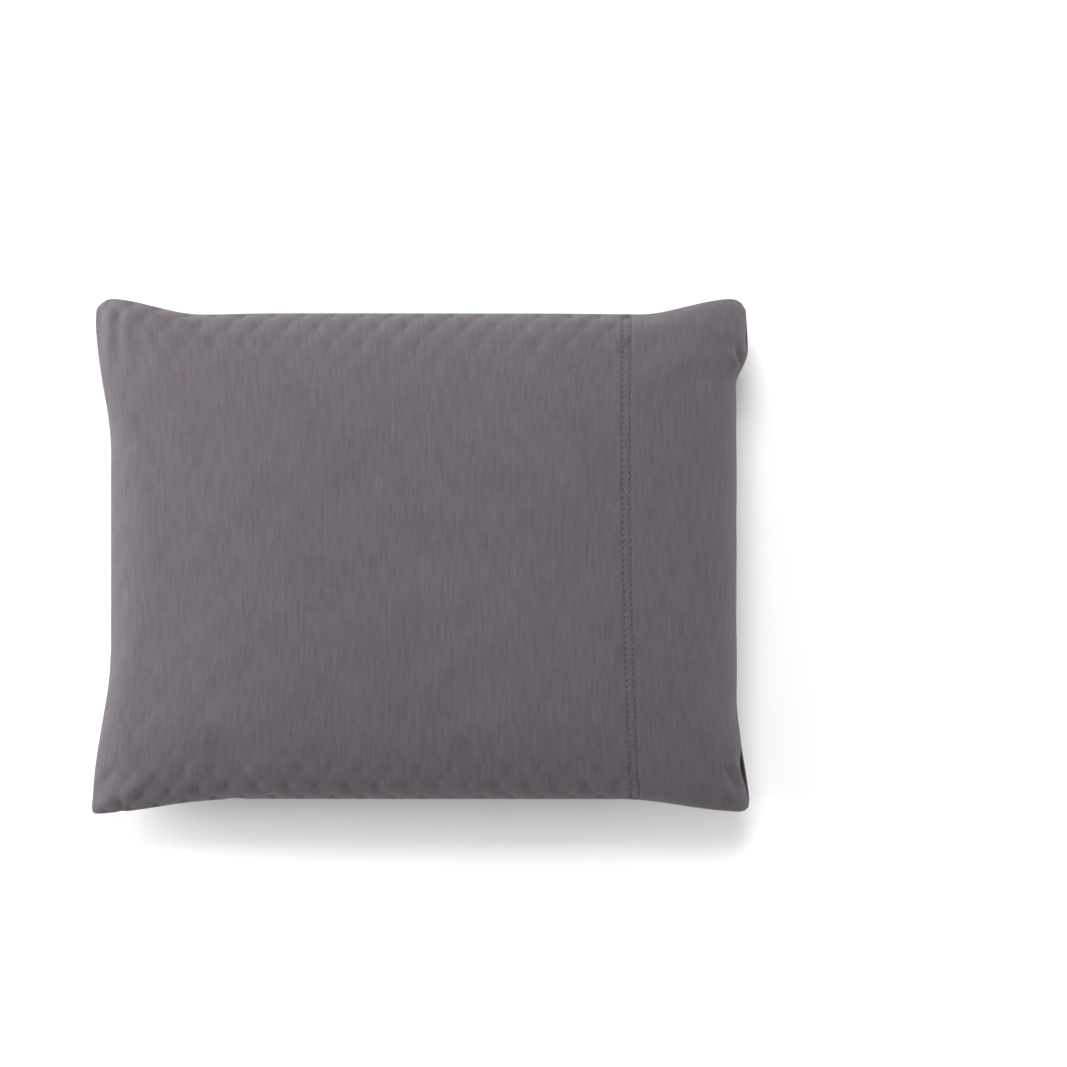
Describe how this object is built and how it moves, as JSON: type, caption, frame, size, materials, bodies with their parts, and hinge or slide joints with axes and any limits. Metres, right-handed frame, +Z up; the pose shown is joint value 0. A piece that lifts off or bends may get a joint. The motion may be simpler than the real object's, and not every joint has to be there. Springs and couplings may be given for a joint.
{
  "type": "bed pillow",
  "caption": "Rectangular bed pillow in a hemstitched pillowcase, with a zipped quilted cover, a liner and a soft fill inside.",
  "frame": {"origin": "middle of the underside, where the pillow rests", "axes": "+X along the length towards the pillowcase's open end, +Y across the width, +Z up"},
  "size_m": [0.6597, 0.514, 0.1402],
  "materials": {
    "case_cloth": "matte heathered weave",
    "case_hemstitch": "matte drawn threads",
    "cover_cotton": "matte quilted cotton",
    "cover_piping": "matte cotton cord edge",
    "liner_muslin": "matte plain weave",
    "fill_fibre": "matte loose fibre",
    "zip_tape": "matte woven tape",
    "zip_nylon": "satin nylon",
    "zip_metal": "satin nickel",
    "label_satin": "soft satin"
  },
  "bodies": {
    "root": {"case_front_panel": "case_cloth", "case_front_hemstitch": "case_hemstitch", "case_front_hem_band": "case_cloth", "case_back_panel": "case_cloth", "case_back_hemstitch": "case_hemstitch", "case_back_hem_band": "case_cloth", "case_upper_side_seam": "case_cloth", "case_lower_side_seam": "case_cloth", "case_closed_end_seam": "case_cloth", "case_care_label": "label_satin", "cover_top_quilted_panel": "cover_cotton", "cover_bottom_quilted_panel": "cover_cotton", "cover_piping": "cover_piping", "cover_label": "label_satin", "zip_upper_tape": "zip_tape", "zip_lower_tape": "zip_tape", "zip_upper_coil": "zip_nylon", "zip_lower_coil": "zip_nylon", "zip_upper_top_stop": "zip_metal", "zip_lower_top_stop": "zip_metal", "zip_bottom_stop": "zip_metal", "liner_top_panel": "liner_muslin", "liner_bottom_panel": "liner_muslin", "fill": "fill_fibre"},
    "slider": {"zip_slider": "zip_metal"},
    "pull": {"zip_pull_tab": "zip_metal"}
  },
  "joints": [
    {"name": "zip_slider_slide", "type": "slide", "parent": "root", "child": "slider", "axis": [0, 1, 0], "range_m": [0, 0.314]},
    {"name": "zip_pull_swing", "type": "hinge", "parent": "slider", "child": "pull", "pos_m": [0.29551, -0.1572, 0.062], "axis": [0, 0, -1], "range_deg": [0, 175]}
  ]
}
